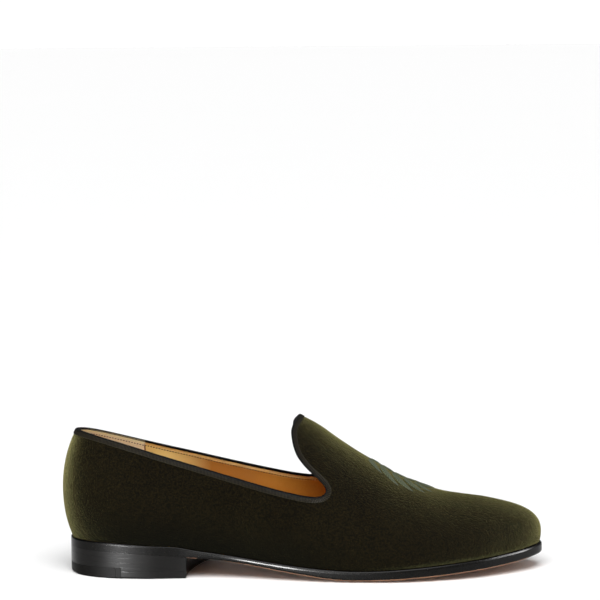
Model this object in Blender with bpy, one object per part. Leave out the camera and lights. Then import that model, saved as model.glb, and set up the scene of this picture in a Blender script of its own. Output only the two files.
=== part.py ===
"""Velvet slipper loafer, one right shoe, standing empty on its leather sole.

The last comes first: a feather line round the foot and a ridge line along its top, joined by curved
strips. The upper, its binding, the insole, the sole and the heel are all worked out from it.
+X points to the toe, +Y to the inner side of the foot and +Z up. Sizes are millimetres up to the
point where a mesh is made.
"""

import math

import bmesh
import bpy
import numpy as np
from mathutils import Vector
from mathutils.bvhtree import BVHTree

MM = 0.001

# Driving sizes of the shoe
LENGTH = 297.0
BALL_WIDTH = 93.0
INSTEP_HEIGHT = 97.0
SEAT_HEIGHT = 22.5
WALL = 2.2
SOLE_MARGIN = 1.4
SOLE_BELLY = 0.35
SHOULDER_DROP = 1.2
BEVEL_WIDTH = 3.6
GAP = 0.3

# Heel: corners of its front face from the back of the sole, and how far that face bows backwards
BREAST_LATERAL = 75.0
BREAST_MEDIAL = 86.0
BREAST_BOW = 3.2
HEEL_MARGIN = 1.0
TOP_PIECE = 6.8
TOP_LAYER = 4.5
TOP_JOINT = 32.0
HEEL_ROUNDING = 0.9
LIFTS = ("heel_lift_lower", "heel_lift_middle", "heel_lift_upper")
LIFT_GAP = 0.1

# Insole and binding
INSOLE_THICKNESS = 2.6
BINDING_LEG = 3.0
BINDING_THICKNESS = 0.55
OUTER_CLEARANCE = 0.35
INNER_CLEARANCE = 0.6
CUT_CLEARANCE = 0.45

# Mesh densities
STATION_COUNT = 52
STRIP_COUNT = 11
FINE_STATIONS = 160
FINE_STRIPS = 48
TOPLINE_COUNT = 60
TURN_WEIGHT = 4.0
HEEL_ROWS = 11
TOP_REAR_ROWS = 7
TOP_FRONT_ROWS = 6
HEEL_COLUMNS = 6

# Sections of the last. Widths are parts of the ball width, and heights parts of the section's own
# height. along: place on the feather line. lateral, medial: its half widths. ridge_along, ridge_off:
# where the section meets the ridge. swell, rise: the wall's lower handle, out and up. reach, drop:
# the crown's handle, towards the feather line and down.
LAST_COLUMNS = "along lateral medial ridge_along ridge_off swell rise reach drop".split()
LAST_ROWS = (
    (0.000, 0.000, 0.000, 0.058, 0.000, 0.096, 0.25, 1.60, 0.29),
    (0.025, 0.182, 0.182, 0.068, 0.000, 0.092, 0.25, 1.46, 0.29),
    (0.080, 0.275, 0.275, 0.098, 0.000, 0.070, 0.27, 1.15, 0.26),
    (0.170, 0.312, 0.317, 0.175, 0.000, 0.058, 0.36, 0.85, 0.17),
    (0.250, 0.296, 0.301, 0.250, 0.000, 0.056, 0.40, 0.90, 0.13),
    (0.340, 0.306, 0.285, 0.340, 0.000, 0.054, 0.39, 0.95, 0.09),
    (0.420, 0.352, 0.300, 0.420, 0.003, 0.050, 0.36, 0.90, 0.05),
    (0.500, 0.405, 0.360, 0.500, 0.011, 0.048, 0.35, 0.66, 0.00),
    (0.590, 0.440, 0.460, 0.590, 0.027, 0.052, 0.37, 0.56, 0.00),
    (0.670, 0.449, 0.538, 0.668, 0.043, 0.052, 0.44, 0.52, 0.00),
    (0.740, 0.430, 0.554, 0.733, 0.054, 0.050, 0.47, 0.56, 0.00),
    (0.810, 0.376, 0.516, 0.788, 0.066, 0.048, 0.50, 0.62, 0.00),
    (0.870, 0.301, 0.452, 0.835, 0.077, 0.047, 0.54, 0.66, 0.00),
    (0.920, 0.204, 0.376, 0.869, 0.086, 0.047, 0.58, 0.70, 0.00),
    (0.960, 0.108, 0.296, 0.889, 0.092, 0.046, 0.61, 0.73, 0.00),
    (0.985, 0.022, 0.215, 0.899, 0.096, 0.046, 0.63, 0.75, 0.00),
    (1.000, -0.097, 0.097, 0.902, 0.097, 0.046, 0.63, 0.75, 0.00),
)

# Ridge of the last, seen from the side: along the length, and height as a part of the instep height
RIDGE_ROWS = (
    (0.000, 1.093),
    (0.370, 1.093),
    (0.440, 1.062),
    (0.487, 1.012),
    (0.529, 0.944),
    (0.571, 0.850),
    (0.614, 0.760),
    (0.656, 0.682),
    (0.699, 0.602),
    (0.741, 0.548),
    (0.784, 0.499),
    (0.826, 0.475),
    (0.869, 0.457),
    (0.911, 0.432),
)

# Sole, seen from the side: along the length, then three heights as parts of the seat height. seat:
# its upper face. edge: the lower corner of its side. bottom: its lower face, flat under the ball.
SOLE_COLUMNS = "along seat edge bottom".split()
SOLE_ROWS = (
    (0.000, 1.000, 0.785, 0.770),
    (0.090, 0.987, 0.745, 0.730),
    (0.170, 0.920, 0.690, 0.675),
    (0.240, 0.858, 0.615, 0.600),
    (0.270, 0.787, 0.578, 0.555),
    (0.300, 0.735, 0.547, 0.510),
    (0.375, 0.600, 0.435, 0.370),
    (0.450, 0.475, 0.290, 0.215),
    (0.500, 0.407, 0.200, 0.120),
    (0.550, 0.353, 0.115, 0.035),
    (0.575, 0.335, 0.088, 0.000),
    (0.600, 0.325, 0.080, 0.000),
    (0.650, 0.335, 0.092, 0.000),
    (0.730, 0.395, 0.142, 0.062),
    (0.810, 0.470, 0.210, 0.130),
    (0.870, 0.530, 0.267, 0.187),
    (0.930, 0.600, 0.330, 0.250),
    (1.000, 0.710, 0.431, 0.350),
)

# Collar edge, seen from the side, from behind the heel over the throat and up the tongue to above
# its ridge: along the length, height as a part of the instep height, and how steeply the edge climbs
# from the lateral side to the medial one
TOPLINE_ROWS = (
    (-0.050, 0.933, -0.042),
    (0.005, 0.927, -0.042),
    (0.034, 0.913, -0.050),
    (0.067, 0.888, -0.050),
    (0.135, 0.831, -0.042),
    (0.202, 0.774, -0.024),
    (0.269, 0.720, -0.002),
    (0.337, 0.666, 0.018),
    (0.404, 0.615, 0.032),
    (0.471, 0.567, 0.040),
    (0.505, 0.549, 0.047),
    (0.527, 0.546, 0.050),
    (0.541, 0.557, 0.050),
    (0.547, 0.583, 0.050),
    (0.543, 0.617, 0.046),
    (0.532, 0.652, 0.040),
    (0.520, 0.683, 0.034),
    (0.508, 0.715, 0.028),
    (0.497, 0.750, 0.022),
    (0.487, 0.791, 0.016),
    (0.480, 0.840, 0.010),
    (0.476, 0.892, 0.004),
    (0.475, 0.932, 0.000),
    (0.479, 0.968, 0.000),
    (0.488, 1.003, 0.000),
    (0.506, 1.075, 0.000),
)

LAST = dict(zip(LAST_COLUMNS, np.array(LAST_ROWS).T))
SOLE = dict(zip(SOLE_COLUMNS, np.array(SOLE_ROWS).T))
RIDGE_ALONG, RIDGE_HEIGHT = np.array(RIDGE_ROWS).T
STATION_ANGLES = np.arccos(1 - 2 * LAST["along"])


# Reading the tables

def smooth(knots, values, at):
    """Read a curve that runs through a table's points without overshooting them."""
    at = np.clip(at, knots[0], knots[-1])
    step = np.diff(knots)
    rise = np.diff(values) / step
    slope = np.empty(len(knots))
    slope[0], slope[-1] = rise[0], rise[-1]
    before, after = rise[:-1], rise[1:]
    middle = (before * step[1:] + after * step[:-1]) / (step[1:] + step[:-1])
    limit = 3 * np.minimum(abs(before), abs(after)) * (before * after > 0)
    slope[1:-1] = np.clip(middle, -limit, limit)
    cell = np.clip(np.searchsorted(knots, at, side="right") - 1, 0, len(step) - 1)
    width = step[cell]
    t = (at - knots[cell]) / width
    start = values[cell] * (1 + 2 * t) + slope[cell] * width * t
    end = values[cell + 1] * (3 - 2 * t) - slope[cell + 1] * width * (1 - t)
    return start * (1 - t) ** 2 + end * t ** 2


def read_around(lateral, medial, angle):
    """Read a column all the way round: 0 is the heel's back, pi the toe, and the medial side follows."""
    turn = 2 * math.pi
    knots = np.concatenate([STATION_ANGLES, turn - STATION_ANGLES[-2::-1]])
    values = np.concatenate([lateral, medial[-2::-1]])
    knots = np.concatenate([knots[-3:-1] - turn, knots, knots[1:3] + turn])
    values = np.concatenate([values[-3:-1], values, values[1:3]])
    return smooth(knots, values, np.mod(angle, turn))


def read_both_sides(column, angle):
    return read_around(LAST[column], LAST[column], angle)


def sole_height(column, x):
    return SEAT_HEIGHT * smooth(SOLE["along"], SOLE[column], x / LENGTH)


def ridge_height(x):
    return INSTEP_HEIGHT * smooth(RIDGE_ALONG, RIDGE_HEIGHT, x / LENGTH)


# The last

def station_angle(x):
    """Angle of the feather line's point that lies x from the back of the sole."""
    share = (x - SOLE_MARGIN) / (LENGTH - 2 * SOLE_MARGIN)
    return math.acos(1 - 2 * min(max(share, 0.0), 1.0))


def outline(angle, outset=0.0):
    """Feather line from above, moved outwards by outset."""
    def point(at):
        x = SOLE_MARGIN + (LENGTH - 2 * SOLE_MARGIN) * (1 - np.cos(at)) / 2
        y = BALL_WIDTH * read_around(-LAST["lateral"], LAST["medial"], at)
        return np.stack([x, y], -1)

    nudge = 0.01
    ahead = point(angle + nudge) - point(angle - nudge)
    ahead /= np.linalg.norm(ahead, axis=-1, keepdims=True)
    outward = np.stack([ahead[..., 1], -ahead[..., 0]], -1)
    return point(angle) + outset * outward


def strip_handles(angle):
    """The four Bezier points of the strip that climbs from the feather line to the ridge."""
    foot = outline(angle)
    swell = BALL_WIDTH * read_both_sides("swell", angle)
    foot_z = sole_height("seat", foot[:, 0]) + GAP
    ridge_x = LENGTH * read_both_sides("ridge_along", angle)
    ridge_y = BALL_WIDTH * read_both_sides("ridge_off", angle)
    ridge = np.column_stack([ridge_x, ridge_y, ridge_height(ridge_x)])
    height = ridge[:, 2] - foot_z
    out = outline(angle, 1.0) - foot
    low = foot + out * swell[:, None]
    low_z = foot_z + height * read_both_sides("rise", angle)
    toward = (foot - ridge[:, :2]) * read_both_sides("reach", angle)[:, None]
    slope = (ridge_height(ridge_x + 1) - ridge_height(ridge_x - 1)) / 2
    high_z = ridge[:, 2] + slope * toward[:, 0] - height * read_both_sides("drop", angle)
    return (
        np.column_stack([foot, foot_z]),
        np.column_stack([low, low_z]),
        np.column_stack([ridge[:, :2] + toward, high_z]),
        ridge,
    )


def last_surface(angle, t):
    """Point of the last at each angle round the foot and t up the strip, 0 to 1."""
    foot, low, high, ridge = strip_handles(angle)
    t = np.asarray(t)[:, None]
    return (1 - t) ** 3 * foot + 3 * (1 - t) ** 2 * t * low + 3 * (1 - t) * t ** 2 * high + t ** 3 * ridge


def last_grid(stations, strips):
    """Rows from the heel to the toe, each over the top from the lateral to the medial feather line."""
    climb = np.linspace(0, 1, strips + 1)
    rows = []
    for angle in np.linspace(0, math.pi, stations + 1):
        lateral = last_surface(np.full(strips + 1, angle), climb)
        medial = last_surface(np.full(strips + 1, 2 * math.pi - angle), climb)
        rows.append(np.concatenate([lateral, medial[-2::-1]]))
    return np.array(rows)


def grid_faces(rows, columns):
    return [
        (r * columns + c, (r + 1) * columns + c, (r + 1) * columns + c + 1, r * columns + c + 1)
        for r in range(rows - 1)
        for c in range(columns - 1)
    ]


# Making objects

def material(name, colour, roughness):
    made = bpy.data.materials.new(name)
    made.use_nodes = True
    shader = made.node_tree.nodes["Principled BSDF"]
    shader.inputs["Base Color"].default_value = (*colour, 1)
    shader.inputs["Roughness"].default_value = roughness
    shader.inputs["Metallic"].default_value = 0.0
    return made


def make_object(name, points, faces, finish):
    """Mesh object from millimetre points, with doubled points merged and its faces turned outwards."""
    mesh = bpy.data.meshes.new(name)
    mesh.from_pydata((np.asarray(points) * MM).tolist(), [], faces)
    bm = bmesh.new()
    bm.from_mesh(mesh)
    bmesh.ops.remove_doubles(bm, verts=bm.verts, dist=1e-6)
    bmesh.ops.recalc_face_normals(bm, faces=bm.faces)
    bm.to_mesh(mesh)
    bm.free()
    mesh.shade_smooth()
    mesh.set_sharp_from_angle(angle=math.radians(40))
    mesh.materials.append(finish)
    made = bpy.data.objects.new(name, mesh)
    bpy.context.scene.collection.objects.link(made)
    made.parent = SHOE
    return made


def make_loop_solid(name, rings, closed, finish):
    """Solid through a row of equal rings. Open rows get a cap at each end, closed rows join up."""
    count, size = len(rings), len(rings[0])
    faces = []
    for r in range(count if closed else count - 1):
        ahead = (r + 1) % count
        for c in range(size):
            side = (c + 1) % size
            faces.append((r * size + c, ahead * size + c, ahead * size + side, r * size + side))
    if not closed:
        faces += [tuple(range(size)), tuple(range((count - 1) * size, count * size))]
    return make_object(name, np.concatenate(rings), faces, finish)


def make_plate(name, layers, finish):
    """Solid through layers from bottom to top: a grid of places from above, and its height at each x."""
    count, size = layers[0][0].shape[:2]
    points = []
    for rows, height in layers:
        flat = rows.reshape(-1, 2)
        points.append(np.column_stack([flat, height(flat[:, 0])]))
    shift = count * size
    faces = grid_faces(count, size)
    faces += [tuple(index + shift * (len(layers) - 1) for index in reversed(face)) for face in faces]
    rim = [r * size for r in range(count)] + list(range((count - 1) * size + 1, count * size))
    rim += [r * size + size - 1 for r in range(count - 2, -1, -1)] + list(range(size - 2, 0, -1))
    for base in range(0, shift * (len(layers) - 1), shift):
        for here, ahead in zip(rim, rim[1:] + rim[:1]):
            faces.append((base + here, base + ahead, base + ahead + shift, base + here + shift))
    return make_object(name, np.concatenate(points), faces, finish)


def plate_rows(start, end, outset, count, columns, bow=0.0):
    """Lines across the foot. start and end are the lateral and medial x of the first and last line."""
    share = np.linspace(0, 1, count + 1)
    sides = []
    for side, sign in enumerate((1, -1)):
        angles = np.linspace(station_angle(start[side]), station_angle(end[side]), count + 1)
        sides.append(outline(sign * angles, outset))
    across = np.linspace(0, 1, columns + 1)[None, :, None]
    rows = sides[0][:, None, :] * (1 - across) + sides[1][:, None, :] * across
    rows[:, :, 0] -= bow * share[:, None] * 4 * across[0, :, 0] * (1 - across[0, :, 0])
    return rows


# The collar edge

def topline_curve(count):
    """Points x, z and climb of a smooth curve through the collar edge's table."""
    table = np.array(TOPLINE_ROWS) * (LENGTH, INSTEP_HEIGHT, 1)
    chords = np.linalg.norm(np.diff(table, axis=0), axis=1)
    knots = np.concatenate([[0], np.cumsum(chords ** 0.5)])
    at = np.linspace(0, knots[-1], count)
    slope = np.gradient(table, knots, axis=0)
    cell = np.clip(np.searchsorted(knots, at, side="right") - 1, 0, len(knots) - 2)
    width = (knots[cell + 1] - knots[cell])[:, None]
    t = ((at - knots[cell])[:, None]) / width
    start = table[cell] * (1 + 2 * t) + slope[cell] * width * t
    end = table[cell + 1] * (3 - 2 * t) - slope[cell + 1] * width * (1 - t)
    return start * (1 - t) ** 2 + end * t ** 2


def collar_hits(tree, place, side):
    """Where the collar edge at this place in the side view meets one side of the last."""
    x, z, climb = place
    ray = Vector((0, side, side * climb)).normalized()
    hit, normal = tree.ray_cast(Vector((x, 0, z)), ray)[:2]
    if hit is None:
        return None
    return np.array(hit), np.array(normal) * (1 if normal.y * side > 0 else -1)


def collar_edge(tree):
    """Evenly spread collar points: side-view places, then hits and normals on both sides."""
    dense = topline_curve(6000)
    found = [collar_hits(tree, place, -1) for place in dense]
    other = [collar_hits(tree, place, 1) for place in dense]
    kept = [i for i in range(len(dense)) if found[i] and other[i]]
    path = np.array([found[i][0] for i in kept])
    step = np.diff(path, axis=0)
    length = np.linalg.norm(step, axis=1)
    heading = step / np.maximum(length, 1e-9)[:, None]
    turning = np.concatenate([[0], np.linalg.norm(np.diff(heading, axis=0), axis=1)])
    turning[length < 1e-3] = 0
    measure = np.concatenate([[0], np.cumsum(length + TURN_WEIGHT * np.minimum(turning, 0.2))])
    wanted = np.linspace(0, measure[-1], TOPLINE_COUNT)
    chosen = [kept[i] for i in np.searchsorted(measure, wanted).clip(0, len(kept) - 1)]
    return dense[chosen], [found[i] for i in chosen], [other[i] for i in chosen]


def make_collar_cutter(places):
    """Prism across the shoe that takes away all that stands above the collar edge."""
    reach = BALL_WIDTH
    behind, above = -LENGTH / 8, 2 * INSTEP_HEIGHT
    last = places[-1]
    lead = last + 4 * (last - places[-4])
    profile = [(behind, *places[0, 1:]), *places, lead, (lead[0], above, 0), (behind, above, 0)]
    rings = [
        np.array([(x, side * reach, z + side * reach * climb) for x, z, climb in profile])
        for side in (-1, 1)
    ]
    cutter = make_loop_solid("collar_cutter", rings, False, VELVET)
    cutter.hide_render = True
    cutter.display_type = "WIRE"
    return cutter


# The pieces

def make_upper(cutter):
    """Velvet and lining as one wall over the last, open underneath and at the collar."""
    grid = last_grid(STATION_COUNT, STRIP_COUNT)
    rows, columns = grid.shape[:2]
    upper = make_object("upper", grid.reshape(-1, 3), grid_faces(rows, columns), VELVET)
    wall = upper.modifiers.new("wall", "SOLIDIFY")
    wall.thickness = WALL * MM
    wall.offset = -1
    wall.use_even_offset = True
    cut = upper.modifiers.new("collar", "BOOLEAN")
    cut.operation = "DIFFERENCE"
    cut.solver = "EXACT"
    cut.object = cutter
    return upper


def binding_section(point, normal, ahead, across_cut):
    """Ribbon folded over the wall's edge: down outside, over the cut, and down inside."""
    down = np.cross(ahead, normal)
    down /= np.linalg.norm(down)
    across = across_cut * WALL / -np.dot(across_cut, normal)
    outer, inner, clear = OUTER_CLEARANCE, INNER_CLEARANCE, CUT_CLEARANCE
    lip, belly = 0.7 * BINDING_THICKNESS, 1.2 * BINDING_THICKNESS
    shoulder = 0.35 * BINDING_LEG
    # share of the wall across the cut, then out along the normal, then down the wall
    corners = (
        (0, outer, BINDING_LEG),
        (0, outer + lip, BINDING_LEG),
        (0, outer + belly, shoulder),
        (0, outer + lip, -clear / 2),
        (0.5, 0, -clear - BINDING_THICKNESS),
        (1, -inner - lip, -clear / 2),
        (1, -inner - belly, shoulder),
        (1, -inner - lip, BINDING_LEG),
        (1, -inner, BINDING_LEG),
        (1, -inner, -clear),
        (0, outer, -clear),
    )
    return np.array([point + share * across + out * normal + low * down for share, out, low in corners])


def make_binding(places, lateral, medial):
    """Ribbed ribbon all round the collar and the tongue, one closed loop."""
    hits = lateral + medial[::-1]
    points = np.array([hit[0] for hit in hits])
    normals = np.array([hit[1] for hit in hits])
    normals = normals + np.roll(normals, 1, 0) + np.roll(normals, -1, 0)
    normals /= np.linalg.norm(normals, axis=1, keepdims=True)
    slope = np.gradient(places, axis=0)
    slopes = np.concatenate([slope, slope[::-1]])
    climbs = np.concatenate([places, places[::-1]])[:, 2]
    rings = []
    for i in range(len(points)):
        ahead = points[(i + 1) % len(points)] - points[i - 1]
        ahead -= np.dot(ahead, normals[i]) * normals[i]
        ahead /= np.linalg.norm(ahead)
        face = np.cross((0, 1, climbs[i]), (slopes[i][0], 0, slopes[i][1]))
        across = np.cross(face, ahead)
        across /= np.linalg.norm(across)
        across *= -np.sign(np.dot(across, normals[i]))
        rings.append(binding_section(points[i], normals[i], ahead, across))
    return make_loop_solid("topline_binding", rings, True, RIBBON)


def make_outsole():
    """Leather sole with a rounded side, a bevel below it and a flat spot under the ball."""
    def side_ring(angles, outset, level, lift):
        place = outline(angles, outset)
        return np.column_stack([place, sole_height(level, place[:, 0]) + lift])

    angles = np.linspace(0, 2 * math.pi, 2 * STATION_COUNT, endpoint=False)
    profile = (
        (GAP, "seat", 0.0),
        (SOLE_MARGIN - SOLE_BELLY, "seat", -SOLE_BELLY),
        (SOLE_MARGIN, "seat", -SHOULDER_DROP),
        (SOLE_MARGIN, "edge", SHOULDER_DROP),
        (SOLE_MARGIN - SOLE_BELLY, "edge", 0.0),
        (-BEVEL_WIDTH, "bottom", 0.0),
    )
    rings = [side_ring(angles, *row) for row in profile]
    size = len(angles)
    faces = []
    for r in range(len(rings) - 1):
        for c in range(size):
            side = (c + 1) % size
            faces.append((r * size + c, (r + 1) * size + c, (r + 1) * size + side, r * size + side))
    for base in (0, (len(rings) - 1) * size):
        for c in range(STATION_COUNT):
            lateral, medial = (c, c + 1), ((size - c - 1) % size, (size - c) % size)
            faces.append(tuple(base + i for i in dict.fromkeys((*lateral, *medial))))
    return make_object("outsole", np.concatenate(rings), faces, SOLE_LEATHER)


def make_insole():
    """Insole and sock, inside the wall and over the sole."""
    inset = -(WALL + 2 * GAP)
    ends = (SOLE_MARGIN, SOLE_MARGIN), (LENGTH - SOLE_MARGIN, LENGTH - SOLE_MARGIN)
    rows = plate_rows(*ends, inset, STATION_COUNT, 1)

    def under(x):
        return sole_height("seat", x) + GAP

    def over(x):
        return under(x) + INSOLE_THICKNESS

    return make_plate("insole", [(rows, under), (rows, over)], SOCK_LEATHER)


def make_heel():
    """Stack of lifts under the seat, then the top piece: leather in front, rubber behind."""
    back = (SOLE_MARGIN, SOLE_MARGIN)
    breast = (BREAST_LATERAL, BREAST_MEDIAL)
    lift_rows = plate_rows(back, breast, HEEL_MARGIN, HEEL_ROWS, HEEL_COLUMNS, BREAST_BOW)

    def boundary(share, lift):
        def height(x):
            span = sole_height("bottom", x) - GAP + LIFT_GAP - TOP_PIECE
            return TOP_PIECE + span * share + lift
        return height

    for number, name in enumerate(LIFTS):
        bottom = boundary(number / len(LIFTS), 0.0)
        top = boundary((number + 1) / len(LIFTS), -LIFT_GAP)
        make_plate(name, [(lift_rows, bottom), (lift_rows, top)], HEEL_LEATHER)

    def level(height):
        return lambda x: np.full_like(x, height)

    half_joint = LIFT_GAP / 2
    rear_end = (TOP_JOINT - half_joint, TOP_JOINT - half_joint)
    front_start = (TOP_JOINT + half_joint, TOP_JOINT + half_joint)
    rear = [
        plate_rows(back, rear_end, outset, TOP_REAR_ROWS, 1)
        for outset in (HEEL_MARGIN - HEEL_ROUNDING, HEEL_MARGIN)
    ]
    front = [
        plate_rows(front_start, breast, outset, TOP_FRONT_ROWS, HEEL_COLUMNS, BREAST_BOW)
        for outset in (HEEL_MARGIN - HEEL_ROUNDING, HEEL_MARGIN)
    ]
    floor, corner, top = level(0.0), level(HEEL_ROUNDING), level(TOP_PIECE - LIFT_GAP)
    make_plate("top_piece_rubber", [(rear[0], floor), (rear[1], corner), (rear[1], top)], RUBBER)
    layer = level(TOP_LAYER)
    make_plate("top_piece_leather", [(front[0], floor), (front[1], corner), (front[1], layer)], HEEL_LEATHER)
    make_plate("top_piece_base", [(front[1], level(TOP_LAYER + LIFT_GAP)), (front[1], top)], HEEL_LEATHER)


def centre_on_origin():
    """Put the middle of the shoe's box over the origin, with the sole's lowest face at z = 0."""
    bpy.context.view_layer.update()
    graph = bpy.context.evaluated_depsgraph_get()
    corners = [
        np.array(child.matrix_world @ Vector(corner))
        for child in SHOE.children
        if not child.hide_render
        for corner in child.evaluated_get(graph).bound_box
    ]
    middle = (np.min(corners, axis=0) + np.max(corners, axis=0)) / 2
    SHOE.location = (-middle[0], -middle[1], 0)


for old in list(bpy.data.objects):
    bpy.data.objects.remove(old, do_unlink=True)

VELVET = material("velvet", (0.013, 0.011, 0.005), 0.9)
RIBBON = material("ribbon", (0.012, 0.011, 0.008), 0.7)
SOLE_LEATHER = material("sole_leather", (0.016, 0.015, 0.012), 0.35)
SOCK_LEATHER = material("sock_leather", (0.55, 0.33, 0.14), 0.55)
HEEL_LEATHER = material("heel_leather", (0.018, 0.016, 0.013), 0.35)
RUBBER = material("rubber", (0.017, 0.016, 0.014), 0.5)

SHOE = bpy.data.objects.new("shoe", None)
bpy.context.scene.collection.objects.link(SHOE)

fine = last_grid(FINE_STATIONS, FINE_STRIPS)
fine_tree = BVHTree.FromPolygons(fine.reshape(-1, 3).tolist(), grid_faces(*fine.shape[:2]))
edge_places, lateral_hits, medial_hits = collar_edge(fine_tree)

make_upper(make_collar_cutter(edge_places))
make_binding(edge_places, lateral_hits, medial_hits)
make_outsole()
make_insole()
make_heel()
centre_on_origin()
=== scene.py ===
# %% [markdown]
# # A velvet slipper loafer
#
# The object is one right shoe: dark olive velvet on a leather sole with a low stacked heel. Its solids
# were made before this lesson, in CAD, and they are the frame that everything here has to fit. This
# script makes the surfaces that a person sees: nap, ribbon, lining, thread, burnished edges.
# Loading the frame first matters, because each new piece takes its place from it.

import math

import bmesh
import bpy
import numpy as np
from mathutils import Matrix, Vector
from mathutils.bvhtree import BVHTree
from mathutils.kdtree import KDTree


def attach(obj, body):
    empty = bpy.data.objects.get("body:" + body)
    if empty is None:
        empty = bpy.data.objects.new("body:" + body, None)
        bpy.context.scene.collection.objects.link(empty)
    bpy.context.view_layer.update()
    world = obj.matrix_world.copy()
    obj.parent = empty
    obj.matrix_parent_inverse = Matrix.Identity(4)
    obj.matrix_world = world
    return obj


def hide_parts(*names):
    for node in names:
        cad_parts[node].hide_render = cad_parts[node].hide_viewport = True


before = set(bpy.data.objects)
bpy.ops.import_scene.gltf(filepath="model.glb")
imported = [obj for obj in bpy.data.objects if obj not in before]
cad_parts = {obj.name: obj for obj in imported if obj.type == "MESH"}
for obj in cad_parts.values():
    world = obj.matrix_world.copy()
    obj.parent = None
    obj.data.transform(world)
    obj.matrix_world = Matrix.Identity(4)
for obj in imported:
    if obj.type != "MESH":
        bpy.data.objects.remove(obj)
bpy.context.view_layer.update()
print("nodes:", sorted(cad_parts))

# %% [markdown]
# ## The last, as numbers
#
# A shoemaker pulls the upper over a wooden last, so the last's shape decides nearly every surface. The
# same tables that shaped the solids are repeated here. Each row is a section across the foot, at a
# share of the length: its half widths, where it meets the ridge, and the two handles that bend it.

# %% Sizes in millimetres, and the tables of the last
MM = 0.001
SHIFT = np.array((-146.41, -4.89, 0.0))
LENGTH, BALL_WIDTH, INSTEP_HEIGHT, SEAT_HEIGHT = 297.0, 93.0, 97.0, 22.5
SOLE_MARGIN, GAP, WALL = 1.4, 0.3, 2.2

LAST_COLUMNS = "along lateral medial ridge_along ridge_off swell rise reach drop".split()
LAST_ROWS = (
    (0.000, 0.000, 0.000, 0.058, 0.000, 0.096, 0.25, 1.60, 0.29),
    (0.025, 0.182, 0.182, 0.068, 0.000, 0.092, 0.25, 1.46, 0.29),
    (0.080, 0.275, 0.275, 0.098, 0.000, 0.070, 0.27, 1.15, 0.26),
    (0.170, 0.312, 0.317, 0.175, 0.000, 0.058, 0.36, 0.85, 0.17),
    (0.250, 0.296, 0.301, 0.250, 0.000, 0.056, 0.40, 0.90, 0.13),
    (0.340, 0.306, 0.285, 0.340, 0.000, 0.054, 0.39, 0.95, 0.09),
    (0.420, 0.352, 0.300, 0.420, 0.003, 0.050, 0.36, 0.90, 0.05),
    (0.500, 0.405, 0.360, 0.500, 0.011, 0.048, 0.35, 0.66, 0.00),
    (0.590, 0.440, 0.460, 0.590, 0.027, 0.052, 0.37, 0.56, 0.00),
    (0.670, 0.449, 0.538, 0.668, 0.043, 0.052, 0.44, 0.52, 0.00),
    (0.740, 0.430, 0.554, 0.733, 0.054, 0.050, 0.47, 0.56, 0.00),
    (0.810, 0.376, 0.516, 0.788, 0.066, 0.048, 0.50, 0.62, 0.00),
    (0.870, 0.301, 0.452, 0.835, 0.077, 0.047, 0.54, 0.66, 0.00),
    (0.920, 0.204, 0.376, 0.869, 0.086, 0.047, 0.58, 0.70, 0.00),
    (0.960, 0.108, 0.296, 0.889, 0.092, 0.046, 0.61, 0.73, 0.00),
    (0.985, 0.022, 0.215, 0.899, 0.096, 0.046, 0.63, 0.75, 0.00),
    (1.000, -0.097, 0.097, 0.902, 0.097, 0.046, 0.63, 0.75, 0.00),
)
RIDGE_ROWS = (
    (0.000, 1.093), (0.370, 1.093), (0.440, 1.062), (0.487, 1.012), (0.529, 0.944), (0.571, 0.850),
    (0.614, 0.760), (0.656, 0.682), (0.699, 0.602), (0.741, 0.548), (0.784, 0.499), (0.826, 0.475),
    (0.869, 0.457), (0.911, 0.432),
)
SOLE_COLUMNS = "along seat edge bottom".split()
SOLE_ROWS = (
    (0.000, 1.000, 0.785, 0.770), (0.090, 0.987, 0.745, 0.730), (0.170, 0.920, 0.690, 0.675),
    (0.240, 0.858, 0.615, 0.600), (0.270, 0.787, 0.578, 0.555), (0.300, 0.735, 0.547, 0.510),
    (0.375, 0.600, 0.435, 0.370), (0.450, 0.475, 0.290, 0.215), (0.500, 0.407, 0.200, 0.120),
    (0.550, 0.353, 0.115, 0.035), (0.575, 0.335, 0.088, 0.000), (0.600, 0.325, 0.080, 0.000),
    (0.650, 0.335, 0.092, 0.000), (0.730, 0.395, 0.142, 0.062), (0.810, 0.470, 0.210, 0.130),
    (0.870, 0.530, 0.267, 0.187), (0.930, 0.600, 0.330, 0.250), (1.000, 0.710, 0.431, 0.350),
)
TOPLINE_ROWS = (
    (-0.050, 0.933, -0.042), (0.005, 0.927, -0.042), (0.034, 0.913, -0.050), (0.067, 0.888, -0.050),
    (0.135, 0.831, -0.042), (0.202, 0.774, -0.024), (0.269, 0.720, -0.002), (0.337, 0.666, 0.018),
    (0.404, 0.615, 0.032), (0.471, 0.567, 0.040), (0.505, 0.549, 0.047), (0.527, 0.546, 0.050),
    (0.541, 0.557, 0.050), (0.547, 0.583, 0.050), (0.543, 0.617, 0.046), (0.532, 0.652, 0.040),
    (0.520, 0.683, 0.034), (0.508, 0.715, 0.028), (0.497, 0.750, 0.022), (0.487, 0.791, 0.016),
    (0.480, 0.840, 0.010), (0.476, 0.892, 0.004), (0.475, 0.932, 0.000), (0.479, 0.968, 0.000),
    (0.488, 1.003, 0.000), (0.506, 1.075, 0.000),
)
LAST = dict(zip(LAST_COLUMNS, np.array(LAST_ROWS).T))
SOLE = dict(zip(SOLE_COLUMNS, np.array(SOLE_ROWS).T))
RIDGE_ALONG, RIDGE_HEIGHT = np.array(RIDGE_ROWS).T
STATION_ANGLES = np.arccos(1 - 2 * LAST["along"])

# %% [markdown]
# ## Reading the tables
#
# A smooth curve through a short table must not overshoot, or a shoe gets bumps that no one put there.
# Monotone cubic pieces do that. The angle goes round the foot: 0 at the heel's back, pi at the toe.

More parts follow.
